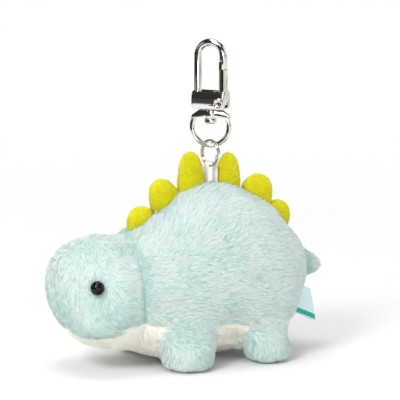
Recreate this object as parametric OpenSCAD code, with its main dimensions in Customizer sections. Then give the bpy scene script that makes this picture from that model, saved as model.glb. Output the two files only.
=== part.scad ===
// Plush dinosaur keychain: a stuffed toy on a ribbon, a split ring and a swivel snap hook.
// The toy looks along -X with its left side towards -Y. The origin is the inside top of
// the hook's bow, where the keychain hangs. Lengths are millimetres.

/* [Toy] */
// Snout to rump, without the tail
body_length = 98.3; // [96:0.1:100]
// Soles to the top of the back
back_height = 63.5; // [62.5:0.1:64.5]
// Across the widest part of the torso
body_width = 48.8; // [47:0.1:50]
// Radius of a front paw
front_paw_r = 10.5; // [9.5:0.1:11]
// Radius of a rear paw
rear_paw_r = 9.3; // [8.5:0.1:10]
// Backing cloth and pressed pile together
plush_thickness = 1.8; // [1.2:0.1:2.2]

/* [Hook] */
// Diameter of the bow's rod
rod_d = 2.6; // [2.4:0.1:2.8]
// Width of the bow, over the rod
bow_width = 12.4; // [12.2:0.1:12.8]
// Length of the block
block_length = 12.1; // [12:0.1:12.6]
// Depth of the block, front to back
block_depth = 5.5; // [5.3:0.1:6]
// Outer diameter of the swivel eye
eye_d = 15; // [14.6:0.1:15.4]
// Diameter of the swivel eye's rod
eye_rod_d = 1.7; // [1.5:0.1:1.8]

/* [Ring and ribbon] */
// Outer diameter of the split ring
ring_d = 9.9; // [9.7:0.1:10]
// Diameter of the split ring's wire
wire_d = 0.7; // [0.65:0.05:0.75]
// Width of the ribbon
ribbon_width = 4; // [3.4:0.1:4.2]

/* [Hidden] */
$fn = 48;

// Colours
NICKEL = "#c9c8c6";
MINT = "#c8e8df";
CREAM = "#eeecde";
YELLOW = "#dede1c";

// How each metal piece is turned about the vertical
clasp_turn = -52;
eye_turn = -39;
ring_turn = -80;

// Heights above the top of the back
ring_bottom = 4.6;
eye_bottom = 11.5;
bar_bottom = 22.1;
bar_top = 25;
block_bottom = 25.6;
block_top = 31.7;
bow_centre = 44.1;
bow_r = (bow_width - rod_d) / 2;
hang_height = bow_centre + bow_r - rod_d / 2;

module above_back() translate([0, 0, -hang_height]) children();
module above_soles() translate([0, 0, -hang_height - back_height]) children();

// ---------- hook ----------

// Gate and its pivot
gate_x = bow_r;
gate_w = 2.6;
gate_depth = 2.8;
pivot = [4.2, 27.9];
pivot_d = 1.6;
running = 0.05;
lip_top = 42.35;
nose_top = 39.6;
tip_gap = 0.2;
lip_x = gate_x - 0.05;

// Slot in the block: the gate fills it but for a running fit on each side
slot_x = 1.5;
slot_bottom = 26;
slot_depth = gate_depth + 2 * running;

// Swivel post
post_d = 2.2;
post_depth = 2.2;
neck_d = 3;
head_d = 4.2;
head_bottom = 20.2;
head_top = 21.9;

// Spring pocket, a blind bore along the block
pocket_z = 30.1;
pocket_d = 2;
pocket_end = -3.6;

module rounded_bar(length, depth, r) {
    square([length - 2 * r, depth], center = true);
    square([length, depth - 2 * r], center = true);
    for (sx = [-1, 1], sy = [-1, 1])
        translate([sx * (length / 2 - r), sy * (depth / 2 - r)]) circle(r);
}

module along_y(length) rotate([90, 0, 0]) cylinder(d = pivot_d, h = length, center = true);

module bow() {
    translate([0, 0, bow_centre]) rotate([90, 0, 0])
        rotate_extrude(angle = 180) translate([bow_r, 0]) circle(d = rod_d);
    translate([-bow_r, 0, block_top - 0.5]) cylinder(d = rod_d, h = bow_centre - block_top + 0.5);
    difference() {
        translate([bow_r, 0, nose_top + tip_gap])
            cylinder(d = rod_d, h = bow_centre - nose_top - tip_gap);
        translate([lip_x + 0.1 - rod_d, -rod_d, nose_top - 1])
            cube([rod_d, 2 * rod_d, lip_top + tip_gap - nose_top + 1]);
    }
}

module clasp_frame() color(NICKEL) above_back() rotate([0, 0, clasp_turn]) {
    bow();
    difference() {
        translate([0, 0, block_bottom]) linear_extrude(block_top - block_bottom)
            rounded_bar(block_length, block_depth, 0.4);
        translate([slot_x, -slot_depth / 2, slot_bottom])
            cube([block_length, slot_depth, block_top]);
        translate([pivot[0], 0, pivot[1]]) along_y(2 * block_depth);
        translate([0, 0, block_bottom - 1]) cylinder(d = post_d, h = post_depth + 1);
        translate([pocket_end, 0, pocket_z]) rotate([0, 90, 0])
            cylinder(d = pocket_d, h = slot_x - pocket_end + 0.1);
    }
}

module swivel_post() color(NICKEL) above_back() {
    translate([0, 0, head_bottom]) cylinder(d1 = head_d - 0.6, d2 = head_d, h = 0.4);
    translate([0, 0, head_bottom + 0.4]) cylinder(d = head_d, h = head_top - head_bottom - 0.4);
    translate([0, 0, head_top - 0.1])
        cylinder(d = post_d, h = block_bottom + post_depth - head_top + 0.1);
    translate([0, 0, bar_top + 0.15]) cylinder(d = neck_d, h = block_bottom - bar_top - 0.15);
}

module gate_rivet() color(NICKEL) above_back() rotate([0, 0, clasp_turn])
    translate([pivot[0], 0, pivot[1]]) rotate([90, 0, 0]) difference() {
        union() {
            cylinder(d = pivot_d, h = block_depth, center = true);
            translate([0, 0, block_depth / 2]) cylinder(d1 = 3.6, d2 = 3, h = 0.5);
            translate([0, 0, -block_depth / 2 - 0.3]) cylinder(d = 3, h = 0.3);
        }
        translate([0, 0, block_depth / 2 + 0.1]) cylinder(d = 1.5, h = 1);
    }

// One closed tube along a helix about Z. All turns, with round wire of n sides.
function helix_ring(a, coil_r, pitch, wire_r, n) = [
    for (j = [0 : n - 1])
        let (b = 360 * j / n, r = coil_r + wire_r * cos(b))
            [r * cos(a), r * sin(a), pitch * a / 360 + wire_r * sin(b)]
];

module helix(coil_r, pitch, wire_r, turns, steps, n) {
    rings = [for (k = [0 : steps]) helix_ring(360 * turns * k / steps, coil_r, pitch, wire_r, n)];
    loft(rings);
}

module gate_spring() color(NICKEL) above_back() rotate([0, 0, clasp_turn]) {
    coil_r = 0.72;
    wire_r = 0.16;
    turns = 7;
    reach = gate_x - gate_w / 2 - pocket_end - 2 * wire_r - 0.2;
    translate([pocket_end + wire_r + 0.02, 0, pocket_z]) rotate([0, 90, 0])
        helix(coil_r, reach / turns, wire_r, turns, 70, 6);
}

module gate() color(NICKEL) above_back() rotate([0, 0, clasp_turn]) difference() {
    union() {
        translate([gate_x - gate_w / 2, -gate_depth / 2, pivot[1]])
            cube([gate_w, gate_depth, block_top - pivot[1]]);
        intersection() {
            translate([gate_x - gate_w / 2, -gate_depth / 2, block_top - 0.1])
                cube([gate_w, gate_depth, lip_top - block_top + 0.1]);
            union() {
                translate([0, 0, block_top - 1]) linear_extrude(nose_top - block_top + 1)
                    translate([gate_x, 0]) rounded_bar(gate_w, gate_depth, 0.7);
                translate([gate_x - gate_w / 2, -0.9, block_top])
                    cube([lip_x - gate_x + gate_w / 2 - 0.05, 1.8, lip_top - block_top]);
            }
        }
        translate([pivot[0], 0, pivot[1]]) rotate([90, 0, 0])
            cylinder(r = 1.75, h = gate_depth, center = true);
    }
    translate([pivot[0], 0, pivot[1]]) rotate([90, 0, 0])
        cylinder(d = pivot_d + 2 * running, h = 2 * gate_depth, center = true);
}

module swivel_eye() color(NICKEL) above_back() rotate([0, 0, eye_turn]) {
    eye_centre = eye_bottom + eye_d / 2;
    mid_r = (eye_d - eye_rod_d) / 2;
    bar_half = eye_d / 2 - 0.55;
    // Where the arc's ends run into the bar, measured up from level
    arc_end = asin((bar_bottom + 0.6 - eye_centre) / mid_r);
    difference() {
        union() {
            translate([0, 0, eye_centre]) rotate([90, 0, 0])
                rotate_extrude(angle = 180 + 2 * arc_end, start = 180 - arc_end)
                    translate([mid_r, 0]) circle(d = eye_rod_d);
            rotate([90, 0, 0]) translate([0, 0, -1]) linear_extrude(2) polygon([
                [-bar_half, bar_bottom], [bar_half, bar_bottom],
                [bar_half - 0.5, bar_bottom + 1.2], [4.1, bar_top],
                [-4.1, bar_top], [0.5 - bar_half, bar_bottom + 1.2]
            ]);
            translate([0, 0, bar_bottom]) cylinder(d = 3.6, h = bar_top - bar_bottom);
        }
        translate([0, 0, bar_bottom - 1]) cylinder(d = post_d + 2 * running, h = 5);
    }
}

// Two turns of wire, side by side
module split_ring() color(NICKEL) above_back() {
    pitch = wire_d + 0.03;
    translate([0, 0, ring_bottom + ring_d / 2]) rotate([0, 0, ring_turn]) rotate([90, 0, 0])
        translate([0, 0, -0.75 * pitch])
            helix((ring_d - wire_d) / 2, pitch, wire_d / 2, 2, 96, 8);
}

// ---------- toy: the stuffed skin ----------

// Cross-sections from snout to rump. Each row holds the distance from the snout as a share
// of body_length, the top and the bottom as shares of back_height, and the half width as
// a share of half of body_width.
SECTIONS = [
    [0.000, 0.520, 0.473, 0.06], [0.014, 0.628, 0.338, 0.38], [0.051, 0.702, 0.228, 0.60],
    [0.112, 0.736, 0.148, 0.76], [0.193, 0.752, 0.100, 0.83], [0.275, 0.758, 0.074, 0.76],
    [0.366, 0.814, 0.056, 0.84], [0.468, 0.923, 0.047, 0.94], [0.580, 0.992, 0.047, 0.99],
    [0.682, 0.991, 0.050, 1.00], [0.783, 0.923, 0.055, 0.97], [0.875, 0.814, 0.085, 0.87],
    [0.946, 0.709, 0.178, 0.66], [0.987, 0.624, 0.318, 0.37], [1.000, 0.550, 0.432, 0.08]
];
NECK = 5;
RUMP = len(SECTIONS) - 1;
STEP = 0.5;
// How far below its middle the skin is widest
LOW = 0.42;
// Where the side panel ends and the belly panel starts: section, angle down from the back
SIDE_SEAM = [
    [1.5, 180], [2, 172], [3, 141], [4, 118], [5, 109], [6, 113], [7, 120], [8, 124],
    [10, 124], [11, 128], [12, 150], [13, 172], [13.5, 180]
];
BELLY = [2, 13];
snout_x = -0.631 * body_length;

function between(p, q, r, s, t) =
    0.5 * (2 * q + (r - p) * t + (2 * p - 5 * q + 4 * r - s) * t * t
        + (3 * q - p - 3 * r + s) * t * t * t);
function section(k) =
    let (i = min(floor(k), RUMP - 1), t = k - i)
        between(SECTIONS[max(i - 1, 0)], SECTIONS[i], SECTIONS[i + 1],
                SECTIONS[min(i + 2, RUMP)], t);

// A point on the skin, depth below its surface, at section k and angle a down from the back
function shrunk(r, depth) = r * (1 - depth / max(r, 2 * depth));
function skin(k, a, depth) =
    let (
        s = section(k),
        x = snout_x + body_length / 2 + (s[0] - 0.5) * (body_length - 2 * depth),
        top = s[1] * back_height,
        bottom = s[2] * back_height,
        middle = bottom + LOW * (top - bottom),
        reach = cos(a) > 0 ? top - middle : middle - bottom,
        half = s[3] * body_width / 2
    )
        [x, -shrunk(half, depth) * sin(a), middle + shrunk(reach, depth) * cos(a)];

// A closed solid through a stack of rings of points, with flat ends
module loft(rings) {
    n = len(rings[0]);
    last = len(rings) - 1;
    sides = [
        for (i = [0 : last - 1], j = [0 : n - 1])
            let (a = i * n + j, b = i * n + (j + 1) % n)
                each [[a, b, b + n], [a, b + n, a + n]]
    ];
    polyhedron(
        [for (ring = rings) each ring],
        concat(
            sides,
            [[for (j = [0 : n - 1]) n - 1 - j]],
            [[for (j = [0 : n - 1]) last * n + j]]
        ),
        convexity = 6
    );
}

// A sewn panel between two sections and two angles, as a closed shell
module panel(from, to, start, end, steps) {
    rings = [
        for (k = [from : STEP : to])
            let (a = lookup(k, start), b = lookup(k, end))
                concat(
                    [for (j = [0 : steps]) skin(k, a + (b - a) * j / steps, 0)],
                    [for (j = [0 : steps]) skin(k, b + (a - b) * j / steps, plush_thickness)]
                )
    ];
    quad_ended(rings, steps);
}

// As loft, with each end made of quads between the outer and the inner edge
module quad_ended(rings, steps) {
    n = len(rings[0]);
    last = len(rings) - 1;
    sides = [
        for (i = [0 : last - 1], j = [0 : n - 1])
            let (a = i * n + j, b = i * n + (j + 1) % n)
                each [[a, b + n, b], [a, a + n, b + n]]
    ];
    near_end = [for (j = [0 : steps - 1]) each [
        [j, j + 1, n - 2 - j], [j, n - 2 - j, n - 1 - j]
    ]];
    far_end = [for (f = near_end) [last * n + f[0], last * n + f[2], last * n + f[1]]];
    polyhedron([for (ring = rings) each ring], concat(sides, near_end, far_end), convexity = 6);
}

// The whole stuffed form, depth below the surface of the skin
module stuffed_form(depth, sides = 24) {
    loft([
        for (k = [0 : STEP : RUMP])
            [for (j = [0 : sides - 1]) skin(k, -360 * j / sides, depth)]
    ]);
}

// Sewn and stuffed pieces are welded into one closed mesh each
module soft() resize([0, 0, 0]) children();

NO_SEAM = [[0, 0], [RUMP, 0]];
module side_panel(from, to) panel(from, to, NO_SEAM, SIDE_SEAM, 13);
module as_right() mirror([0, 1, 0]) children();

// Beads, washers and their shanks
bead_r = 2.5;
shank_d = 1.4;
washer_d = 6;
eye_section = 2.74;
eye_angle = 71.6;
eye_aim = [75, 0, -24];
module at_eye() translate(skin(eye_section, eye_angle, 0.9)) rotate(eye_aim) children();

module bead() {
    rotate_extrude() intersection() {
        translate([0, 0.9]) circle(bead_r);
        translate([0, -0.4]) square([bead_r, 2 * bead_r]);
    }
    translate([0, 0, -5.5]) cylinder(d = shank_d, h = 5.5);
}
module washer() translate([0, 0, -3.6]) difference() {
    cylinder(d = washer_d, h = 0.9);
    translate([0, 0, -1]) cylinder(d = shank_d, h = 3);
}
module eye_space() at_eye() {
    translate([0, 0, 0.9]) sphere(bead_r + 0.08, $fn = 24);
    translate([0, 0, -6]) cylinder(d = shank_d + 0.1, h = 6, $fn = 16);
    translate([0, 0, -3.7]) cylinder(d = washer_d + 0.1, h = 1.1, $fn = 24);
}

module head_panel() difference() {
    side_panel(0, NECK);
    eye_space();
}
module head_panel_left() color(MINT) above_soles() soft() head_panel();
module head_panel_right() color(MINT) above_soles() soft() as_right() head_panel();
module torso_panel_left() color(MINT) above_soles() side_panel(NECK, RUMP);
module torso_panel_right() color(MINT) above_soles() soft() as_right() side_panel(NECK, RUMP);
module belly_panel() color(CREAM) above_soles() {
    far_seam = [for (p = SIDE_SEAM) [p[0], 360 - p[1]]];
    panel(BELLY[0], BELLY[1], SIDE_SEAM, far_seam, 12);
}
module fibre_filling() color("white") above_soles() soft() difference() {
    stuffed_form(plush_thickness + 0.2);
    eye_space();
    as_right() eye_space();
}

module eye_left() color("#0a0a0c") above_soles() at_eye() bead();
module eye_right() color("#0a0a0c") above_soles() as_right() at_eye() bead();
module eye_washer_left() color("white") above_soles() at_eye() washer();
module eye_washer_right() color("white") above_soles() as_right() at_eye() washer();

// ---------- toy: legs, tail, back plates and label ----------

// What is sewn on starts this far off the skin
sewn_gap = 0.12;
module sewn_on() soft() difference() {
    children();
    stuffed_form(-sewn_gap, 48);
}

// Height above the soles, share of the paw's radius, and how far the middle leans inwards
PAW = [
    [0, 0.66, 0], [0.8, 0.85, 0], [2.4, 0.97, 0], [5, 1, 0.2], [9, 0.97, 0.8],
    [14, 0.9, 2], [19, 0.8, 3.6], [24, 0.64, 5.6]
];
front_leg = [-17.3, -17];
rear_leg = [13.8, -17];
module leg(place, r, sides = 22) sewn_on() loft([
    for (p = PAW) [
        for (j = [0 : sides - 1])
            let (a = 360 * (j + 0.3) / sides)
                [place[0] + p[1] * r * cos(a), place[1] + p[2] - p[1] * r * sin(a), p[0]]
    ]
]);
module leg_front_left() color(MINT) above_soles() leg(front_leg, front_paw_r);
module leg_front_right() color(MINT) above_soles() as_right() leg(front_leg, front_paw_r);
module leg_rear_left() color(MINT) above_soles() leg(rear_leg, rear_paw_r);
module leg_rear_right() color(MINT) above_soles() as_right() leg(rear_leg, rear_paw_r);

// A puffy tongue: rings of an ellipse that close towards the tip along +Z
function tongue_share(t) = pow(1 - pow(t, 2.6), 1 / 2.2);
module tongue(length, half_l, half_w, sides = 16, steps = 6) loft([
    for (k = [0 : steps])
        let (t = sin(90 * k / (steps + 0.35)), share = tongue_share(t))
            [for (j = [0 : sides - 1])
                let (a = -360 * (j + 0.5) / sides)
                    [half_l * share * cos(a), half_w * share * sin(a), length * t]
            ]
]);

// The tail's seam is flat and lies on the rump
tail_root = [29.7, 0, 33.5];
tail_seat = [36.42, 0, 34.83];
module tail() color(MINT) above_soles() soft() difference() {
    translate(tail_root) rotate([0, 102, 0]) tongue(17, 6, 5.4, sides = 18);
    translate(tail_seat) rotate([0, 80, 0]) translate([0, 0, -20]) cube(40, center = true);
}

// Middle of each plate's base above the soles, its lean towards the rump, height and length
PLATES = [
    [[-26.4, 48.4], -24, 7.9, 5.9], [[-16.2, 54.2], -27, 12, 6.1], [[-7.6, 59.6], -3, 14.8, 5.4],
    [[6.7, 59.4], 1, 13.6, 4.9], [[16.5, 54.2], 27, 10.7, 6.8], [[25, 47.2], 38, 7.6, 5.6]
];
plate_half_w = 2.7;
module plate(i) color(YELLOW) above_soles() {
    p = PLATES[i - 1];
    sewn_on() translate([p[0][0], 0, p[0][1]]) rotate([0, p[1], 0])
        tongue(p[2], p[3] - 0.1, plate_half_w);
}

// A woven label, folded in two and caught in the rump's seam: length, thickness, width
label_size = [12, 0.6, 10.2];
module label() color("#d5f0ec") above_soles() sewn_on() translate([30, 0, 19.1])
    rotate([0, 16, 0]) translate([0, -label_size[1] / 2, -label_size[2] / 2]) cube(label_size);

// ---------- ribbon ----------

ribbon_r = 1.55;
ribbon_t = 0.3;
module ribbon_loop() color("white") sewn_to_back() {
    translate([0, 0, ring_bottom + wire_d / 2]) rotate([90, 0, 0])
        translate([0, 0, -ribbon_width / 2]) linear_extrude(ribbon_width) difference() {
            union() {
                circle(ribbon_r + ribbon_t, $fn = 40);
                translate([-ribbon_r - ribbon_t, -ring_bottom - 3])
                    square([2 * (ribbon_r + ribbon_t), ring_bottom + 3]);
            }
            circle(ribbon_r, $fn = 40);
            translate([-ribbon_r, -ring_bottom - 4]) square([2 * ribbon_r, ring_bottom + 4]);
        }
}
module sewn_to_back() above_soles() sewn_on() translate([0, 0, back_height]) children();

clasp_frame();
swivel_post();
gate_rivet();
gate_spring();
gate();
swivel_eye();
split_ring();
ribbon_loop();
head_panel_left();
head_panel_right();
torso_panel_left();
torso_panel_right();
belly_panel();
fibre_filling();
leg_front_left();
leg_front_right();
leg_rear_left();
leg_rear_right();
tail();
plate(1);  // plate_1
plate(2);  // plate_2
plate(3);  // plate_3
plate(4);  // plate_4
plate(5);  // plate_5
plate(6);  // plate_6
eye_left();
eye_right();
eye_washer_left();
eye_washer_right();
label();
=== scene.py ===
"""Looks of the plush dinosaur keychain: stuffed plush with its pile, felted plates, beads,
satin ribbon, woven label, and a nickel split ring and swivel snap hook."""

import math
from collections import namedtuple
from contextlib import contextmanager

import bmesh
import bpy
import numpy as np
from mathutils import Matrix, Vector
from mathutils.bvhtree import BVHTree
from mathutils.kdtree import KDTree


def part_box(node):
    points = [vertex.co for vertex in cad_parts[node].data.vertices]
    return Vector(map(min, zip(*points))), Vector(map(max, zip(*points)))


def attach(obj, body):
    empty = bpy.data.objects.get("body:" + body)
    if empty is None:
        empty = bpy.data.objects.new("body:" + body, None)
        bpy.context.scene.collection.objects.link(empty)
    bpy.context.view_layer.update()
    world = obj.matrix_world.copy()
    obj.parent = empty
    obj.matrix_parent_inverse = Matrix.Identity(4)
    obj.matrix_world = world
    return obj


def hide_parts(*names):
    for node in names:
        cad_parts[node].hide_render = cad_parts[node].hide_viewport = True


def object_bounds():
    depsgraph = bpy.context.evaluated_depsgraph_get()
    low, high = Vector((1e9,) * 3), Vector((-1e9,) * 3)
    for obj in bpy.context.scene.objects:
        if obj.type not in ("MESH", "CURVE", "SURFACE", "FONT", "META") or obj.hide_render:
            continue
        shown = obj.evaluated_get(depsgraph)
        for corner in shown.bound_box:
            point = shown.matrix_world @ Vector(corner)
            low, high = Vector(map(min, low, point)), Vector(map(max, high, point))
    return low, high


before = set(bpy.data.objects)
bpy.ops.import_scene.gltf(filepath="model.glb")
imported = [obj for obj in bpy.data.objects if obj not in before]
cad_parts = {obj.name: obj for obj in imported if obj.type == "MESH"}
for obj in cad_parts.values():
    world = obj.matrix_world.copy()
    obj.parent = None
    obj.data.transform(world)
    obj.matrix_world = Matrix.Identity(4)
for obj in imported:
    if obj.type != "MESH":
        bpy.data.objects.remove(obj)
cad_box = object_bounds()

MM = 0.001
FLOOR = cad_box[0][2]
SEED = 11

# ---------------------------------------------------------------- mesh helpers


def linked(name, mesh):
    """A new object in the scene that holds the mesh."""
    piece = bpy.data.objects.new(name, mesh)
    bpy.context.scene.collection.objects.link(piece)
    return piece


def new_object(name, points, faces, smooth=True):
    mesh = bpy.data.meshes.new(name)
    mesh.from_pydata(points, [], faces)
    mesh.update()
    if smooth:
        mesh.shade_smooth()
    return linked(name, mesh)


def from_bmesh(name, bm):
    mesh = bpy.data.meshes.new(name)
    bm.to_mesh(mesh)
    bm.free()
    return linked(name, mesh)


@contextmanager
def editing(piece):
    """The piece's mesh as a bmesh, written back at the end."""
    bm = bmesh.new()
    bm.from_mesh(piece.data)
    yield bm
    bm.to_mesh(piece.data)
    bm.free()


def cad_copy(name, nodes):
    """One new object holding welded copies of CAD nodes."""
    bm = bmesh.new()
    for node in nodes:
        bm.from_mesh(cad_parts[node].data)
    bmesh.ops.remove_doubles(bm, verts=bm.verts, dist=0.002 * MM)
    return from_bmesh(name, bm)


def modified(piece, kind, **settings):
    """Adds a modifier and applies it."""
    modifier = piece.modifiers.new(kind.lower(), kind)
    for key, value in settings.items():
        setattr(modifier, key, value)
    apply_modifiers(piece)
    return piece


def apply_modifiers(piece):
    graph = bpy.context.evaluated_depsgraph_get()
    mesh = bpy.data.meshes.new_from_object(piece.evaluated_get(graph))
    old = piece.data
    piece.modifiers.clear()
    piece.data = mesh
    bpy.data.meshes.remove(old)


def relax(piece, times):
    modified(piece, "SMOOTH", factor=0.5, iterations=times)


def vertex_values(piece, kind):
    out = np.empty(len(piece.data.vertices) * 3, np.float32)
    piece.data.vertices.foreach_get(kind, out)
    return out.reshape(-1, 3).astype(float)


def coords(piece):
    return vertex_values(piece, "co")


def normals(piece):
    return vertex_values(piece, "normal")


def set_coords(piece, points):
    piece.data.vertices.foreach_set("co", points.astype(np.float32).ravel())
    piece.data.update()


def quad_corners(piece):
    return np.array([p.vertices[:] for p in piece.data.polygons])


def grid_faces(rows, columns):
    """Quads between the points of neighbouring rows."""
    starts = [i * columns + j for i in range(rows - 1) for j in range(columns - 1)]
    return [(a, a + 1, a + columns + 1, a + columns) for a in starts]


def unit(v):
    return v / np.maximum(np.linalg.norm(v, axis=-1, keepdims=True), 1e-12)


def ease(x, low, high):
    """0 below low, 1 above high, and smooth in between."""
    t = np.clip((x - low) / (high - low), 0, 1)
    return t * t * (3 - 2 * t)


def bell(x, width):
    """1 at zero, and nearly 0 beyond twice the width."""
    return np.exp(-((x / width) ** 2))


def wander(points, wavelength, seed):
    """A smooth random field of about -1 to 1, the same each run."""
    waves, spread, full_turn = 9, 3.2, 6.28
    rng = np.random.default_rng(seed)
    total = np.zeros(len(points))
    for _ in range(waves):
        k = unit(rng.normal(size=3)) * 2 * math.pi / (wavelength * rng.uniform(0.7, 1.6))
        total += np.sin(points @ k + rng.uniform(0, full_turn))
    return total / spread


# ---------------------------------------------------------------- materials


class Nodes:
    """A node tree with short ways to add nodes and join them."""

    def __init__(self, tree):
        self.tree = tree

    def node(self, kind, **settings):
        """A new node. A setting is one of its properties, or one of its sockets."""
        made = self.tree.nodes.new(kind)
        for key, value in settings.items():
            if hasattr(made, key):
                setattr(made, key, value)
            else:
                made.inputs[key.replace("_", " ")].default_value = value
        return made

    def link(self, a, b):
        self.tree.links.new(a, b)

    def math(self, operation, first, second):
        """Two values in one sum. Each is a number or another node's output."""
        made = self.node("ShaderNodeMath", operation=operation)
        for socket, value in zip(made.inputs, (first, second)):
            if isinstance(value, bpy.types.NodeSocket):
                self.link(value, socket)
            else:
                socket.default_value = value
        return made.outputs["Value"]

    def dot(self, source, way):
        made = self.node("ShaderNodeVectorMath", operation="DOT_PRODUCT")
        made.inputs[1].default_value = way
        self.link(source, made.inputs[0])
        return made.outputs["Value"]

    def spread(self, source, low=0.0, high=1.0, **settings):
        """The source stretched, so that low gives To Min, or 0, and high gives To Max, or 1."""
        made = self.node("ShaderNodeMapRange", From_Min=low, From_Max=high, **settings)
        self.link(source, made.inputs["Value"])
        return made.outputs["Result"]

    def mix(self, share, first, second):
        """The first shader, with the second one over it by the share."""
        made = self.node("ShaderNodeMixShader")
        self.link(share, made.inputs["Fac"])
        self.link(first, made.inputs[1])
        self.link(second, made.inputs[2])
        return made.outputs[0]


class Shader(Nodes):
    """A Principled material with procedural textures."""

    def __init__(self, name, **sockets):
        self.material = bpy.data.materials.new(name)
        self.material.use_nodes = True
        super().__init__(self.material.node_tree)
        self.bsdf = self.tree.nodes["Principled BSDF"]
        for key, value in sockets.items():
            self.bsdf.inputs[key.replace("_", " ")].default_value = value

    def place(self, scale=(1, 1, 1)):
        """Object coordinates in millimetres."""
        where = self.node("ShaderNodeTexCoord").outputs["Object"]
        mapping = self.node("ShaderNodeMapping", Scale=[s / MM for s in scale])
        self.link(where, mapping.inputs["Vector"])
        return mapping.outputs["Vector"]

    def noise(self, scale, detail=3, stretch=(1, 1, 1)):
        made = self.node("ShaderNodeTexNoise", Scale=scale, Detail=detail, Roughness=0.55)
        self.link(self.place(stretch), made.inputs["Vector"])
        return made.outputs["Fac"]

    def threads(self, scale, distortion, direction):
        """Even bands across one direction, like yarns side by side."""
        made = self.node("ShaderNodeTexWave", Scale=scale, Distortion=distortion, Detail=1.0,
                         bands_direction=direction)
        self.link(self.place(), made.inputs["Vector"])
        return made.outputs["Fac"]

    def ramp(self, source, *stops):
        made = self.node("ShaderNodeValToRGB")
        while len(made.color_ramp.elements) < len(stops):
            made.color_ramp.elements.new(0.5)
        for element, (at, colour) in zip(made.color_ramp.elements, stops):
            element.position = at
            element.color = (*colour, 1)
        self.link(source, made.inputs["Fac"])
        return made.outputs["Color"]

    def colour(self, source):
        self.link(source, self.bsdf.inputs["Base Color"])

    def roughness(self, source, low, high):
        self.link(self.spread(source, To_Min=low, To_Max=high), self.bsdf.inputs["Roughness"])

    def bump(self, source, strength, depth_mm):
        made = self.node("ShaderNodeBump", Strength=strength, Distance=depth_mm * MM)
        previous = self.bsdf.inputs["Normal"].links
        if previous:
            self.link(previous[0].from_socket, made.inputs["Normal"])
        self.link(source, made.inputs["Height"])
        self.link(made.outputs["Normal"], self.bsdf.inputs["Normal"])


def srgb(*colour):
    """A colour as a screen shows it, in the linear values that a socket takes."""
    return tuple((c / 12.92 if c <= 0.04045 else ((c + 0.055) / 1.055) ** 2.4) for c in colour)


WHITE = (1, 1, 1, 1)


def cloth_skin(name, dark, mid, light, grain=2.2):
    """Short backing pile under the long pile: mottled, felted and rough."""
    made = Shader(name, Roughness=0.92, Sheen_Weight=0.35, Sheen_Roughness=0.5)
    made.bsdf.inputs["Sheen Tint"].default_value = WHITE
    blotch = made.noise(0.22, 4)
    made.colour(made.ramp(blotch, (0.3, dark), (0.55, mid), (0.8, light)))
    made.roughness(made.noise(1.5), 0.82, 0.98)
    made.bump(made.noise(grain, 5), 0.7, 0.35)
    made.bump(made.noise(0.5, 3), 0.4, 0.5)
    return made.material


# Painted shade: the mint backing is darker than its fibres, so the gaps between the fibres look shaded
mint_skin = cloth_skin(
    "mint_skin", srgb(0.63, 0.80, 0.765), srgb(0.69, 0.84, 0.81), srgb(0.77, 0.88, 0.86)
)
cream_skin = cloth_skin(
    "cream_skin", srgb(0.93, 0.92, 0.85), srgb(0.96, 0.955, 0.90), srgb(0.98, 0.97, 0.93)
)
yellow_skin = cloth_skin(
    "yellow_skin", srgb(0.76, 0.74, 0.0), srgb(0.84, 0.82, 0.0), srgb(0.88, 0.86, 0.03), grain=3.5
)


def fibre(name, colour, sheen=0.25):
    """One dyed fibre. The pile mixes several."""
    made = Shader(name, Roughness=0.78, Sheen_Weight=sheen, Sheen_Roughness=0.4)
    made.bsdf.inputs["Base Color"].default_value = (*colour, 1)
    made.bsdf.inputs["Sheen Tint"].default_value = WHITE
    made.bsdf.inputs["Specular IOR Level"].default_value = 0.3
    return made.material


mint_fibres = [
    fibre("mint_fibre_pale", srgb(0.865, 0.915, 0.905)),
    fibre("mint_fibre_light", srgb(0.845, 0.90, 0.89)),
    fibre("mint_fibre_mid", srgb(0.815, 0.885, 0.87)),
    fibre("mint_fibre_deep", srgb(0.735, 0.845, 0.82)),
]
cream_fibres = [
    fibre("cream_fibre_pale", srgb(0.995, 0.99, 0.95)),
    fibre("cream_fibre_mid", srgb(0.985, 0.98, 0.935)),
    fibre("cream_fibre_deep", srgb(0.965, 0.955, 0.90)),
]
yellow_fibres = [
    fibre("yellow_fibre_pale", srgb(0.90, 0.875, 0.0), 0.03),
    fibre("yellow_fibre_mid", srgb(0.87, 0.84, 0.0), 0.03),
    fibre("yellow_fibre_deep", srgb(0.81, 0.78, 0.0), 0.03),
]


def nickel(name, tint=(0.72, 0.695, 0.64), low=0.05, high=0.14):
    """Plated metal: nearly a mirror, with soft cloudy wear and fine scratches."""
    made = Shader(name, Metallic=1.0)
    brighter = tuple(min(1, c * 1.12) for c in tint)
    made.colour(made.ramp(made.noise(0.5, 3), (0.3, tint), (0.75, brighter)))
    made.roughness(made.noise(0.9, 4), low, high)
    made.bump(made.noise(6, 2, (1, 1, 0.12)), 0.12, 0.02)
    made.bump(made.noise(0.35, 2), 0.10, 0.12)
    return made.material


plated = nickel("nickel_plate")
ring_wire = nickel("nickel_wire", (0.60, 0.58, 0.54), 0.14, 0.3)
spring_wire = nickel("spring_steel", (0.55, 0.55, 0.56), 0.2, 0.4)


def satin():
    made = Shader("satin", Roughness=0.35, Sheen_Weight=0.3, Anisotropic=0.4)
    made.bsdf.inputs["Sheen Tint"].default_value = WHITE
    warp, weft = made.threads(1.6, 0.6, "Z"), made.threads(2.4, 0.3, "Y")
    dull, bright = srgb(0.90, 0.90, 0.88), srgb(0.98, 0.98, 0.97)
    made.colour(made.ramp(made.noise(0.8, 2), (0.3, dull), (0.7, bright)))
    made.roughness(weft, 0.28, 0.5)
    made.bump(warp, 0.25, 0.03)
    made.bump(weft, 0.35, 0.03)
    return made.material


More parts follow.
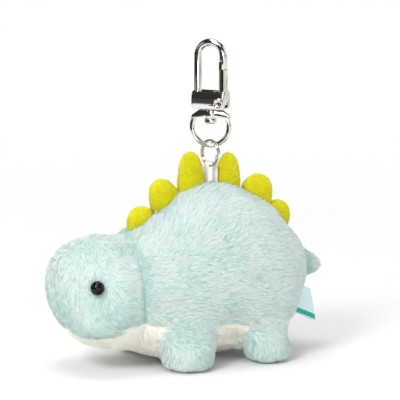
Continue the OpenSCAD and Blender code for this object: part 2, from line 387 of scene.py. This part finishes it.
def woven(name, dark, light):
    made = Shader(name, Roughness=0.7, Sheen_Weight=0.2)
    yarns = made.math("MULTIPLY", made.threads(3.2, 0.5, "X"), made.threads(3.2, 0.5, "Z"))
    made.colour(made.ramp(yarns, (0.1, dark), (0.8, light)))
    made.roughness(made.noise(2), 0.6, 0.85)
    made.bump(yarns, 0.5, 0.06)
    return made.material


def bead_black():
    made = Shader("bead_black", Roughness=0.03, IOR=1.4)
    soot, coal = (0.002, 0.002, 0.003), (0.006, 0.006, 0.008)
    made.colour(made.ramp(made.noise(0.6, 2), (0.3, soot), (0.8, coal)))
    made.roughness(made.noise(1.2, 3), 0.02, 0.05)
    made.bump(made.noise(0.8, 1), 0.02, 0.01)
    return made.material


def soft_wool():
    made = Shader("polyester_fibre", Roughness=0.95, Sheen_Weight=0.4)
    grey, white = srgb(0.86, 0.86, 0.85), srgb(0.97, 0.97, 0.96)
    made.colour(made.ramp(made.noise(0.8, 5), (0.3, grey), (0.7, white)))
    made.roughness(made.noise(2), 0.85, 1)
    made.bump(made.noise(1.4, 6), 0.8, 0.6)
    return made.material


def washer_plastic():
    made = Shader("washer_plastic", Roughness=0.45)
    grey, white = srgb(0.86, 0.86, 0.84), srgb(0.94, 0.94, 0.92)
    made.colour(made.ramp(made.noise(1, 3), (0.3, grey), (0.7, white)))
    made.roughness(made.noise(3), 0.35, 0.6)
    made.bump(made.noise(5, 2), 0.2, 0.03)
    return made.material


def dress(piece, *materials):
    piece.data.materials.clear()
    for material in materials:
        piece.data.materials.append(material)


def fit(piece, body, node):
    """The body that a piece rides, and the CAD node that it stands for."""
    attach(piece, body)
    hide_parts(node)


# ---------------------------------------------------------------- stuffed form

PANELS = [
    "head_panel_left", "head_panel_right", "torso_panel_left", "torso_panel_right", "belly_panel",
]
SEWN_ON = ["leg_front_left", "leg_front_right", "leg_rear_left", "leg_rear_right", "tail"]
SKIN = PANELS + SEWN_ON
# Their rows in what distances() gives for SKIN
TAIL_ROW = len(SKIN) - 1
PANEL_ROWS = slice(len(PANELS))
LEG_ROWS = slice(len(PANELS), TAIL_ROW)

NECK_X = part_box("head_panel_left")[1].x
SNOUT_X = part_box("head_panel_left")[0].x
RUMP_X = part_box("torso_panel_left")[1].x
BACK_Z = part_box("torso_panel_left")[1].z

BEAD_RADIUS = 2.5  # mm
CLOTH = 0.8 * MM
FORM_GRID, FORM_BULGE = 1.7 * MM, 0.9 * MM
SAG = 1.9 * MM
TUCK = 2.4 * MM
TAIL_SHIFT = np.array((-1.1 * MM, 0, -1.3 * MM))


def bead_axis(side):
    """Centre of a bead's dome and the way that it faces."""
    low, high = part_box("eye_washer_" + side)
    washer = np.array((low + high) / 2)
    points = np.array([v.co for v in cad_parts["eye_" + side].data.vertices])
    pole = points[np.argmax(np.linalg.norm(points - washer, axis=1))]
    axis = unit(pole - washer)
    return pole - BEAD_RADIUS * MM * axis, axis


EYES = {side: bead_axis(side) for side in ("left", "right")}


def puff(piece, pinned, cap):
    """Inflates a closed form between its pinned seams, in an enlarged model.
    No point moves further than cap."""
    enlarged, frames = 10, 20
    before = coords(piece)
    set_coords(piece, before * enlarged)
    group = piece.vertex_groups.new(name="seams")
    group.add([int(i) for i in np.flatnonzero(pinned)], 1.0, "REPLACE")
    cloth = piece.modifiers.new("cloth", "CLOTH")
    settings = cloth.settings
    settings.quality = 5
    settings.mass = 0.3
    settings.tension_stiffness = settings.compression_stiffness = 12
    settings.bending_stiffness = 0.6
    settings.use_pressure = True
    settings.uniform_pressure_force = 4.0
    settings.vertex_group_mass = "seams"
    settings.effector_weights.gravity = 0
    cloth.collision_settings.use_collision = False
    cloth.point_cache.frame_start = 1
    cloth.point_cache.frame_end = frames
    for number in range(1, frames + 1):
        bpy.context.scene.frame_set(number)
    apply_modifiers(piece)
    bpy.context.scene.frame_set(1)
    moved = coords(piece) / enlarged - before
    far = np.linalg.norm(moved, axis=1, keepdims=True)
    moved *= cap * np.tanh(far / cap) / np.maximum(far, 1e-9)
    set_coords(piece, before + moved)
    piece.vertex_groups.clear()


def distances(points, nodes):
    """Distance from each point to each CAD node's surface."""
    out = []
    for node in nodes:
        tree = BVHTree.FromObject(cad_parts[node], bpy.context.evaluated_depsgraph_get())
        out.append([tree.find_nearest(p)[3] for p in map(Vector, points)])
    return np.array(out)


def soften(piece, times, weight):
    """Smooths each vertex by its own weight."""
    edges = np.array([e.vertices[:] for e in piece.data.edges])
    at = coords(piece)
    ends = np.concatenate([edges, edges[:, ::-1]])
    count = np.bincount(ends[:, 0], minlength=len(at))[:, None]
    for _ in range(times):
        total = np.stack([np.bincount(ends[:, 0], at[ends[:, 1], k], len(at)) for k in range(3)], 1)
        at += weight[:, None] * (total / count - at)
    set_coords(piece, at)


# The whole skin as one form, with the eye sockets filled to a shallow dimple
form = cad_copy("form", SKIN + ["fibre_filling"])
with editing(form) as bm:
    for centre, axis in EYES.values():
        plug = Matrix.Translation(centre - 4.7 * MM * axis)
        bmesh.ops.create_icosphere(bm, subdivisions=3, radius=4 * MM, matrix=plug)
modified(form, "REMESH", mode="VOXEL", voxel_size=FORM_GRID)
relax(form, 6)

# Outside, each leg runs into the torso without a crease
at = coords(form)
near = distances(at, SKIN)
leg, body = near[LEG_ROWS].min(0), near[PANEL_ROWS].min(0)
outer_side = ease(np.abs(at[:, 1]), 14 * MM, 19 * MM) * ease(at[:, 2], FLOOR + 7 * MM, FLOOR + 13 * MM)
joining = bell(leg - body, 4 * MM) * (np.maximum(leg, body) < 7 * MM)
soften(form, 30, 0.5 * joining * outer_side)

# The stuffing bulges between the seams, the soles and the beads
at = coords(form)
panel = np.sort(distances(at, PANELS), axis=0)
pinned = (panel[1] - panel[0] < 1.0 * MM) | (at[:, 2] < FLOOR + 1.2 * MM)
for centre, axis in EYES.values():
    pinned |= np.linalg.norm(at - centre, axis=1) < 4 * MM
puff(form, pinned, FORM_BULGE)
modified(form, "SUBSURF", levels=1, render_levels=1)

# Room for the pile, less on the head and the tail, more where a seam's thread pulls the cloth in
at, out = coords(form), normals(form)
near = distances(at, SKIN)
panel = np.sort(near[PANEL_ROWS], axis=0)
seam = bell(panel[1] - panel[0], 0.9 * MM)
neck = bell(at[:, 0] - NECK_X, 1.2 * MM) * ease(at[:, 2], FLOOR + 4 * MM, FLOOR + 12 * MM)
neck *= 1 - 0.6 * ease(out[:, 2], 0.4, 0.9)
head = 1 - ease(at[:, 0], NECK_X - 12 * MM, NECK_X - 3 * MM)
up_the_tail = near[:TAIL_ROW].min(0) - near[TAIL_ROW]
at_tail = ease(up_the_tail, 0, 3 * MM)
tail_seam = bell(up_the_tail, 1.2 * MM) * (near[TAIL_ROW] < 2.5 * MM)
depth = 1.15 * MM - 0.6 * MM * head + 0.4 * MM * seam + 1.0 * MM * neck
depth += MM * (0.5 * tail_seam - 0.9 * at_tail)
depth += 0.25 * MM * wander(at, 11 * MM, SEED)
for centre, axis in EYES.values():
    depth += 0.5 * MM * bell(np.linalg.norm(at - centre, axis=1), 4 * MM)
at = at - out * depth[:, None]

# The chest sags between the front legs, the rump tucks in under the tail, and the tail follows it
sag = ease(at[:, 0], -36 * MM, -23 * MM) * (1 - ease(at[:, 0], 2 * MM, 16 * MM))
sag *= ease(-out[:, 2], 0.3, 0.8)
sag *= (near[LEG_ROWS].min(0) > 1 * MM) * (at[:, 2] < FLOOR + 9 * MM)
at[:, 2] -= SAG * sag
tuck = ease(at[:, 0], 20 * MM, 33 * MM) * ease(at[:, 2], FLOOR + 5 * MM, FLOOR + 12 * MM)
tuck *= 1 - ease(at[:, 2], FLOOR + 22 * MM, FLOOR + 31 * MM)
at[:, 0] -= TUCK * tuck
at += at_tail[:, None] * TAIL_SHIFT
at[:, 2] = np.maximum(at[:, 2], FLOOR + 0.3 * MM)
set_coords(form, at)

# Each face goes to the CAD node that it lies nearest to, the sewn-on parts a little ahead
faces = quad_corners(form)
near = distances(at[faces].mean(1), SKIN)
near[len(PANELS):] -= 0.5 * MM
owner = near.argmin(0)
form_normals = normals(form)

skins = {}
for index, node in enumerate(SKIN):
    own = faces[owner == index]
    used, own = np.unique(own, return_inverse=True)
    own = own.reshape(-1, 4)
    piece = new_object(node.replace("_panel", "") + "_skin", at[used].tolist(), own.tolist())
    modified(piece, "SOLIDIFY", thickness=CLOTH, offset=-1)
    piece.data.shade_smooth()
    cream = node == "belly_panel"
    dress(piece, cream_skin if cream else mint_skin)
    fit(piece, "plush", node)
    skins[node] = (at[used], form_normals[used], own)

# The stuffing is the same form, a little further in than the cloth
stuffing = new_object("stuffing", (at - form_normals * 1.1 * MM).tolist(), faces.tolist())
dress(stuffing, soft_wool())
fit(stuffing, "plush", "fibre_filling")
bpy.data.objects.remove(form)

# ---------------------------------------------------------------- pile

# Fibres per square millimetre, their length, lift and width in millimetres, how many make a tuft,
# and how far the tuft draws them together
Pile = namedtuple("Pile", "density length lift width clump gather fibres slot")
MINT_PILE = Pile(11, 2.3, 0.75, 0.155, 7, 0.5, mint_fibres, "mint_plush")
HEAD_PILE = MINT_PILE._replace(length=1.9, lift=0.5, gather=0.35)
TAIL_PILE = MINT_PILE._replace(length=1.7)
CREAM_PILE = Pile(9, 1.1, 0.55, 0.16, 5, 0.3, cream_fibres, "cream_plush")
FELT_NAP = Pile(14, 0.6, 0.28, 0.13, 4, 0.2, yellow_fibres, "yellow_plush")


def combed(p, n, node):
    """Which way the pile lies, in the plane of the cloth: degrees down from the tailward way."""
    along = np.clip((p[:, 0] - NECK_X) / (RUMP_X - NECK_X), 0, 1)
    up = (p[:, 2] - FLOOR) / (BACK_Z - FLOOR)
    if node.startswith("head"):
        u = (p[:, 0] - SNOUT_X) / (NECK_X - SNOUT_X)
        low = 1 - ease(up, 0.2, 0.36)
        front = 1 - ease(u, 0.42, 0.8)
        top = ease(up, 0.55, 0.68)
        turn = 88 * np.maximum(front, top) * (1 - low) - 18 * low
        turn *= 1 - 0.55 * ease(n[:, 2], 0.8, 0.97)
    elif node == "tail":
        turn = np.full(len(p), 12.0)
    elif node == "belly_panel":
        turn = np.zeros(len(p))
    else:
        shoulder = ease(up, 0.5, 0.82) * (1 - ease(along, 0.3, 0.7))
        turn = 4 - 58 * shoulder + 82 * (1 - ease(up, 0.07, 0.24))
    turn = np.radians(turn + 14 * wander(p, 8 * MM, SEED + 1) + 8 * wander(p, 3 * MM, SEED + 2))
    way = np.stack([np.cos(turn), 0.02 * np.sign(p[:, 1]), -np.sin(turn)], 1)
    way -= n * (way * n).sum(1, keepdims=True)
    return unit(way + 1e-4)


def scatter(points, point_normals, quads, density, rng):
    """Random roots on a surface of quads, with their normals."""
    tris = np.concatenate([quads[:, [0, 1, 2]], quads[:, [0, 2, 3]]])
    a, b, c = (points[tris[:, i]] for i in range(3))
    area = np.linalg.norm(np.cross(b - a, c - a), axis=1) / 2
    count = int(area.sum() / MM**2 * density)
    chosen = rng.choice(len(tris), count, p=area / area.sum())
    u, v = rng.random(count), rng.random(count)
    flip = u + v > 1
    u[flip], v[flip] = 1 - u[flip], 1 - v[flip]
    w = np.stack([1 - u - v, u, v], 1)[:, :, None]
    corner = tris[chosen]
    return (points[corner] * w).sum(1), unit((point_normals[corner] * w).sum(1))


def grow_pile(name, surface, node, kind):
    """Tapered fibres that lie along the combing and gather into tufts."""
    length, lift, width = kind.length * MM, kind.lift * MM, kind.width * MM
    rng = np.random.default_rng(SEED + sum(map(ord, name)))
    root, n = scatter(*surface, kind.density, rng)

    # None grow through a bead, and they are short around it
    keep = np.ones(len(root), bool)
    short = np.ones(len(root))
    for centre, axis in EYES.values():
        off = root - centre
        flat = off - np.outer(off @ axis, axis)
        r = np.linalg.norm(flat, axis=1)
        close = np.linalg.norm(off, axis=1) < 9 * MM
        keep &= ~(close & (r < 2.2 * MM))
        shorter = np.minimum(short, 0.35 + 0.65 * ease(r, 2.4 * MM, 5.5 * MM))
        short = np.where(close, shorter, short)
    root, n, short = root[keep], n[keep], short[keep]
    way = combed(root, n, node)
    count = len(root)

    # Each fibre belongs to the tuft whose middle is nearest
    middles = rng.choice(count, max(int(count / kind.clump), 1), replace=False)
    tree = KDTree(len(middles))
    for i, m in enumerate(middles):
        tree.insert(root[m], i)
    tree.balance()
    tuft = np.array([tree.find(p)[1] for p in root])
    centre = middles[tuft]

    tuft_length = rng.normal(1, 0.12, len(middles))[tuft]
    tuft_swing = rng.normal(0, 0.13, len(middles))[tuft]
    side = np.cross(n, way)
    way = unit(way + side * (tuft_swing + rng.normal(0, 0.12, count))[:, None])
    side = np.cross(n, way)
    seam = bell(root[:, 0] - NECK_X, 1.3 * MM) if node.startswith(("head", "torso")) else 0
    reach = length * tuft_length * rng.uniform(0.75, 1.15, count) * short * (1 - 0.5 * seam)
    high = lift * rng.uniform(0.75, 1.25, count) * (0.6 + 0.4 * short) * (1 - 0.35 * seam)
    if node.startswith("torso"):
        # The pile stands up along the back, against the plates
        ridge = 0.9 * ease(n[:, 2], 0.4, 0.9) * (1 - ease(np.abs(root[:, 1]), 3 * MM, 12 * MM))
        high *= 1 + ridge
    tip = root + way * reach[:, None] * 0.9 + n * (high * 0.8)[:, None]
    tip += rng.normal(0, 0.1, (count, 3)) * length
    smooth = 0.6 * ease(root[:, 0], -5 * MM, 15 * MM)
    pull = (kind.gather * (1 - smooth) * rng.uniform(0.6, 1.1, count))[:, None]
    tip = tip * (1 - pull) + (tip[centre] + (root - root[centre]) * 0.25) * pull
    bend = root + way * (reach * 0.4)[:, None] + n * high[:, None]
    halfway = 0.25 * root + 0.5 * bend + 0.25 * tip
    lowest = FLOOR + 0.05 * MM
    tip[:, 2] = np.maximum(tip[:, 2], lowest)
    halfway[:, 2] = np.maximum(halfway[:, 2], lowest)

    # A fibre has five points: two at the root, two halfway and one at the tip
    across = unit(side + n * rng.normal(0, 0.35, count)[:, None])
    w = (width * rng.uniform(0.7, 1.3, count))[:, None]
    points = np.stack([
        root - across * w * 0.5, root + across * w * 0.5,
        halfway - across * w * 0.45, halfway + across * w * 0.45, tip,
    ], 1).reshape(-1, 3)
    base = np.arange(count)[:, None] * 5
    tris = np.concatenate([base + [0, 1, 3], base + [0, 3, 2], base + [2, 3, 4]], 1).reshape(-1, 3)

    # Painted shade: deeper dyes at the neck crease, low on the head and at the tail's root.
    # Painted light: paler dyes on top. The dye also differs at random by tuft and by fibre.
    shade = rng.normal(0, 0.45, len(middles))[tuft] + rng.normal(0, 0.5, count)
    # Painted shade: deeper dyes along the neck crease. Painted light: paler dyes where the pile faces
    # up. The wander is random tone
    shade += 0.5 * wander(root, 14 * MM, SEED + 5) + 2.2 * seam - 0.5 * ease(n[:, 2], 0.3, 0.8)
    if node.startswith("head"):
        # Painted light: paler dyes high on the head; painted shade: deeper dyes low on it
        shade += 0.8 - 2 * ease(root[:, 2], FLOOR + 26 * MM, FLOOR + 37 * MM)
    if node == "tail":
        # Painted shade: deeper dyes at the tail's root, where it meets the body
        shade += 1.6 * (1 - ease(root[:, 0], RUMP_X + 1.5 * MM, RUMP_X + 4.5 * MM))
    steps = np.quantile(rng.normal(0, 1.05, 4000), np.linspace(0, 1, len(kind.fibres) + 1)[1:-1])
    which = np.searchsorted(steps + 0.35, shade)
    piece = new_object(name, points, tris)
    dress(piece, *kind.fibres)
    piece.data.polygons.foreach_set("material_index", np.repeat(which, 3).astype(np.int32))
    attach(piece, "plush")


PILES = {
    "head": HEAD_PILE, "torso": MINT_PILE, "leg": MINT_PILE, "tail": TAIL_PILE, "belly": CREAM_PILE,
}
for node, surface in skins.items():
    grow_pile(node.replace("_panel", "") + "_pile", surface, node, PILES[node.split("_")[0]])

# ---------------------------------------------------------------- plates

PLATE_GRID, PLATE_BULGE = 0.75 * MM, 0.35 * MM
PLATE_SUNK = 1.3 * MM

for number in range(1, 7):
    node = f"plate_{number}"
    piece = cad_copy(node + "_felt", [node])
    # A second copy, sunk into the pile, carries the base down to the cloth
    with editing(piece) as bm:
        extra = bmesh.ops.duplicate(bm, geom=bm.verts[:] + bm.edges[:] + bm.faces[:])["geom"]
        sunk = [g for g in extra if isinstance(g, bmesh.types.BMVert)]
        bmesh.ops.translate(bm, verts=sunk, vec=(0, 0, -PLATE_SUNK))
    modified(piece, "REMESH", mode="VOXEL", voxel_size=PLATE_GRID)
    relax(piece, 3)
    at = coords(piece)
    rim = np.abs(at[:, 1]) < 0.35 * MM
    base = at[:, 2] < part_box(node)[0].z + 1.2 * MM
    puff(piece, rim | base, PLATE_BULGE)
    modified(piece, "SUBSURF", levels=1, render_levels=1)
    # A little fuller all over, and drawn in along the seam round the rim
    at, out = coords(piece), normals(piece)
    groove = bell(at[:, 1], 0.35 * MM) * (1 - np.abs(out[:, 1]))
    at += out * ((0.15 - 0.35 * groove) * MM)[:, None]
    set_coords(piece, at)
    piece.data.shade_smooth()
    dress(piece, yellow_skin)
    fit(piece, "plush", node)
    grow_pile(node + "_nap", (at, normals(piece), quad_corners(piece)), node, FELT_NAP)

# ---------------------------------------------------------------- beads


def lathe(name, profile, centre, axis):
    """A turned piece: radius and height pairs in millimetres, about an axis."""
    turned = Vector(axis).to_track_quat("Z", "Y").to_matrix().to_4x4()
    bm = bmesh.new()
    chain = [bm.verts.new((r * MM, 0, h * MM)) for r, h in profile]
    edges = [bm.edges.new(pair) for pair in zip(chain, chain[1:])]
    bmesh.ops.spin(
        bm, geom=chain + edges, cent=(0, 0, 0), axis=(0, 0, 1), angle=2 * math.pi, steps=48
    )
    bmesh.ops.remove_doubles(bm, verts=bm.verts, dist=0.001 * MM)
    bmesh.ops.recalc_face_normals(bm, faces=bm.faces)
    bm.transform(Matrix.Translation(centre) @ turned)
    piece = from_bmesh(name, bm)
    piece.data.shade_smooth()
    return piece


glass = bead_black()
arc = np.radians(np.linspace(5, 90, 18))
dome = [(0, BEAD_RADIUS)] + [(BEAD_RADIUS * math.sin(a), BEAD_RADIUS * math.cos(a)) for a in arc]
shank = [(2.5, -0.4), (2.35, -0.75), (1.9, -0.95), (0.7, -1.0), (0.7, -6.3), (0, -6.4)]
for side, (centre, axis) in EYES.items():
    bead = lathe("bead_" + side, dome + shank, centre, axis)
    dress(bead, glass)
    fit(bead, "plush", "eye_" + side)

plastic = washer_plastic()
for side in EYES:
    dress(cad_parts["eye_washer_" + side], plastic)

# ---------------------------------------------------------------- ribbon and label

RIBBON_THICK, LABEL_THICK = 0.22 * MM, 0.16 * MM

low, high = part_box("ribbon_loop")
edge = (high.y - low.y) / 2 - 0.05 * MM
outer = (high.x - low.x) / 2
r = outer - 0.15 * MM
top = high.z - outer
sewn_in = low.z - 1.4 * MM
turns = [(-r, sewn_in), (-r, low.z + 0.5 * MM)]
turns += [(-r, z) for z in np.linspace(low.z + 1 * MM, top, 12)]
bend = np.linspace(0.1, math.pi - 0.1, 18)
turns += [(-r * math.cos(a), top + r * math.sin(a)) for a in bend]
turns += [(r, z) for z in np.linspace(top, sewn_in, 14)]
across = np.linspace(-1, 1, 9)
points = []
for x, z in turns:
    for s in across:
        cup = 0.10 * MM * (s * s - 0.4) * (1 if x > 0 else -1)
        points.append((x + cup, s * edge, z))
ribbon = new_object("ribbon", points, grid_faces(len(turns), len(across)))
modified(ribbon, "SOLIDIFY", thickness=RIBBON_THICK, offset=0)
modified(ribbon, "SUBSURF", levels=1, render_levels=1)
ribbon.data.shade_smooth()
dress(ribbon, satin())
fit(ribbon, "plush", "ribbon_loop")

# The label: one woven strip, folded at its free edge, its corner curling away
LABEL_LONG, LABEL_WIDE = 12.0, 10.2  # mm
TILT = math.radians(24)
FOLD = 0.17  # mm from the middle of the fold to each layer
SKEW = 3.1  # mm that the free edge's corners are off square
CURL = 1.3  # mm
label_root = Vector((31.1 * MM, 0, FLOOR + 19 * MM))
end = LABEL_LONG - 0.3
steps = [(s, FOLD) for s in np.linspace(0.6, end, 18)]
steps += [(end + FOLD * math.sin(a), FOLD * math.cos(a)) for a in np.linspace(0.5, 2.64, 5)]
steps += [(s, -FOLD) for s in np.linspace(end, 0.6, 18)]
across = np.linspace(-1, 1, 19)
points = []
for s, off in steps:
    share = s / LABEL_LONG
    for w in across:
        x, z = s - SKEW * share * w, w * LABEL_WIDE / 2
        y = off + CURL * share**2 * ease(w, -0.3, 1.0) - 0.2 * math.sin(3 * share)
        points.append(label_root + MM * Vector((
            x * math.cos(TILT) + z * math.sin(TILT), y, -x * math.sin(TILT) + z * math.cos(TILT),
        )))
label = new_object("woven_label", points, grid_faces(len(steps), len(across)))
weave = woven("label_weave", srgb(0.84, 0.96, 0.95), srgb(0.94, 1.0, 1.0))
hem = woven("label_hem", srgb(0.03, 0.66, 0.57), srgb(0.20, 0.80, 0.71))
dress(label, weave, hem)
hem_columns = [1 if 0 < j < 4 else 0 for j in range(len(across) - 1)]
label.data.polygons.foreach_set("material_index", hem_columns * (len(steps) - 1))
modified(label, "SOLIDIFY", thickness=LABEL_THICK, offset=0)
label.data.shade_smooth()
fit(label, "plush", "label")

# ---------------------------------------------------------------- metal

CLASP_TURN = math.radians(-52)
CLASP_FRONT = Vector((math.sin(CLASP_TURN), -math.cos(CLASP_TURN), 0))
CLASP_SIDE = Vector((math.cos(CLASP_TURN), math.sin(CLASP_TURN), 0))
BLOCK_HIGH = 6.1 * MM


def crown_block(bm):
    """Cast blocks are never flat: the block's faces are crowned a little."""
    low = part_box("clasp_frame")[0].z
    for share in np.linspace(0.08, 0.92, 8):
        level = (0, 0, low + share * BLOCK_HIGH)
        geom = bm.verts[:] + bm.edges[:] + bm.faces[:]
        bmesh.ops.bisect_plane(bm, geom=geom, plane_co=level, plane_no=(0, 0, 1))
    for vert in bm.verts:
        if vert.co.z < low + BLOCK_HIGH + 0.01 * MM:
            crown = 1 - ((vert.co.z - low) / BLOCK_HIGH * 2 - 1) ** 2
            for way, edge, rise in ((CLASP_FRONT, 2.6, 0.32), (CLASP_SIDE, 5.9, 0.2)):
                reach = vert.co.dot(way)
                if abs(reach) > edge * MM:
                    vert.co += way * math.copysign(rise * crown * MM, reach)


def cast_piece(name, node, body, bevel, shape=None):
    """A CAD node's own form with its sharp edges broken."""
    piece = cad_copy(name, [node])
    with editing(piece) as bm:
        flat = math.radians(1)
        bmesh.ops.dissolve_limit(bm, angle_limit=flat, verts=bm.verts, edges=bm.edges)
        if shape:
            shape(bm)
    modified(piece, "BEVEL", width=bevel * MM, segments=2, limit_method="ANGLE",
             angle_limit=math.radians(35), harden_normals=False, use_clamp_overlap=True)
    piece.data.shade_smooth()
    piece.data.set_sharp_from_angle(angle=math.radians(38))
    dress(piece, plated)
    fit(piece, body, node)


def rounded_wire(name, node, body):
    """A CAD wire's own faceted form, rounded."""
    piece = cad_copy(name, [node])
    with editing(piece) as bm:
        bmesh.ops.join_triangles(
            bm, faces=bm.faces, angle_face_threshold=0.8, angle_shape_threshold=3.14
        )
    modified(piece, "SUBSURF", levels=1, render_levels=1)
    piece.data.shade_smooth()
    dress(piece, ring_wire)
    fit(piece, body, node)


cast_piece("hook_frame", "clasp_frame", "clasp", 0.15, crown_block)
cast_piece("hook_post", "swivel_post", "clasp", 0.1)
low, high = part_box("gate_rivet")
rivet = lathe("hook_rivet", [
    (0, -3), (1.2, -3), (1.5, -2.85), (0.8, -2.6), (0.8, 2.4), (1.7, 2.6), (1.85, 2.95), (1.8, 3.3),
    (1.6, 3.5), (1.3, 3.48), (1.05, 3.2), (0.95, 2.9), (0.5, 2.82), (0, 2.8),
], (low + high) / 2, CLASP_FRONT)
dress(rivet, plated)
fit(rivet, "clasp", "gate_rivet")
cast_piece("hook_gate", "gate", "gate", 0.15)
cast_piece("hook_eye", "swivel_eye", "swivel", 0.15)
rounded_wire("key_ring", "split_ring", "ring")
dress(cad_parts["gate_spring"], spring_wire)

# ---------------------------------------------------------------- stage

scene = bpy.context.scene
scene.view_settings.view_transform = "Standard"
scene.view_settings.look = "None"

corners = [(x * 6, y * 6, FLOOR) for x, y in ((-1, -1), (1, -1), (1, 1), (-1, 1))]
floor = new_object("floor", corners, [(0, 1, 2, 3)], smooth=False)
paper = Shader("paper", Roughness=0.85)
paper.bsdf.inputs["Specular IOR Level"].default_value = 0.1
paper.colour(paper.ramp(paper.noise(0.02, 2), (0.2, (0.82,) * 3), (0.8, (0.84,) * 3)))
dress(floor, paper.material)

# Painted reflection: polished metal sees the paper dark near the toy, and dark again far off to the
# left and behind, while other rays see it lit. Distances are in metres
spot = paper.node("ShaderNodeTexCoord").outputs["Object"]
length = paper.node("ShaderNodeVectorMath", operation="LENGTH")
paper.link(spot, length.inputs[0])
size = length.outputs["Value"]
left = paper.spread(paper.dot(spot, (1, -0.8, 0)), 0.2, 0.05)
far_left = paper.math("MULTIPLY", left, paper.spread(size, 0.29, 0.33))
dark_reflection_mask = paper.math("MAXIMUM", far_left, paper.spread(size, 0.15, 0.12))
mirrored = paper.node("ShaderNodeLightPath").outputs["Is Glossy Ray"]
dim = paper.node("ShaderNodeBsdfDiffuse", Color=(0.04, 0.04, 0.045, 1))
dimmed = paper.mix(paper.math("MULTIPLY", mirrored, dark_reflection_mask), paper.bsdf.outputs[0], dim.outputs[0])

# The camera sees it fade into the white backdrop
fade = paper.spread(size, 0.1, 0.5, interpolation_type="SMOOTHSTEP")
watched = paper.node("ShaderNodeLightPath").outputs["Is Camera Ray"]
lit = paper.node("ShaderNodeEmission", Color=WHITE)
blend = paper.mix(paper.math("MULTIPLY", watched, fade), dimmed, lit.outputs[0])
paper.link(blend, paper.tree.nodes["Material Output"].inputs["Surface"])


def lamp(name, place, aim, size, power):
    light = bpy.data.lights.new(name, "AREA")
    light.shape = "DISK"
    light.size = size
    light.energy = power
    ob = bpy.data.objects.new(name, light)
    ob.location = place
    ob.rotation_euler = (aim - place).to_track_quat("-Z", "Y").to_euler()
    scene.collection.objects.link(ob)


centre = Vector((0, 0, FLOOR + 40 * MM))
lamp("key", centre + Vector((-0.85, -0.5, 0.75)), centre, 0.4, 7.4)
lamp("fill", centre + Vector((-0.55, -1.1, 0.12)), centre, 0.6, 3.2)
lamp("top", centre + Vector((-0.1, 0.1, 1.2)), centre, 0.7, 4.6)


def heading(azimuth, elevation):
    """The way to a place in the sky, from angles in degrees round from the front and up."""
    a, e = math.radians(azimuth), math.radians(elevation)
    return Vector((math.sin(a) * math.cos(e), -math.cos(a) * math.cos(e), math.sin(e)))


# A white room for the camera and the cloth. Polished metal sees softboxes in a dark studio instead.
# Each softbox: azimuth, elevation and radius in degrees, then its strength
SOFTBOXES = (
    (12, 8, 13, 1.0), (-104, 15, 12, 0.9), (70, 20, 24, 1.0), (105, 2, 22, 1.0), (-30, 62, 26, 1.0),
    (135, 45, 20, 0.9), (-165, 10, 12, 0.7),
)
scene.world = bpy.data.worlds.new("studio")
scene.world.use_nodes = True
room = Nodes(scene.world.node_tree)
room.tree.nodes.clear()
where = room.node("ShaderNodeTexCoord").outputs["Generated"]
glow = 0.035
for azimuth, elevation, radius, strength in SOFTBOXES:
    rim, inside = (math.cos(math.radians(radius * share)) for share in (1.12, 0.88))
    facing = room.dot(where, heading(azimuth, elevation))
    box = room.spread(facing, rim, inside, To_Max=strength, interpolation_type="SMOOTHSTEP")
    glow = room.math("ADD", box, glow)
white = room.node("ShaderNodeBackground", Color=WHITE, Strength=0.74)
backdrop = room.node("ShaderNodeBackground", Color=WHITE, Strength=1.0)
dark_studio = room.node("ShaderNodeBackground", Color=(1, 0.985, 0.95, 1))
room.link(glow, dark_studio.inputs["Strength"])
ray = room.node("ShaderNodeLightPath").outputs
to_camera = room.mix(ray["Is Camera Ray"], white.outputs[0], backdrop.outputs[0])
to_metal = room.mix(ray["Is Glossy Ray"], to_camera, dark_studio.outputs[0])
room.link(to_metal, room.node("ShaderNodeOutputWorld").inputs["Surface"])

CAMERA_FAR = 1.2
aim = Vector((-4.2 * MM, 0, FLOOR + 56.5 * MM))
away = heading(-27, 10)
lens = bpy.data.cameras.new("camera")
lens.lens = 305
lens.sensor_width = 36
camera = bpy.data.objects.new("camera", lens)
camera.location = aim + away * CAMERA_FAR
camera.rotation_euler = (-away).to_track_quat("-Z", "Y").to_euler()
scene.collection.objects.link(camera)
scene.camera = camera
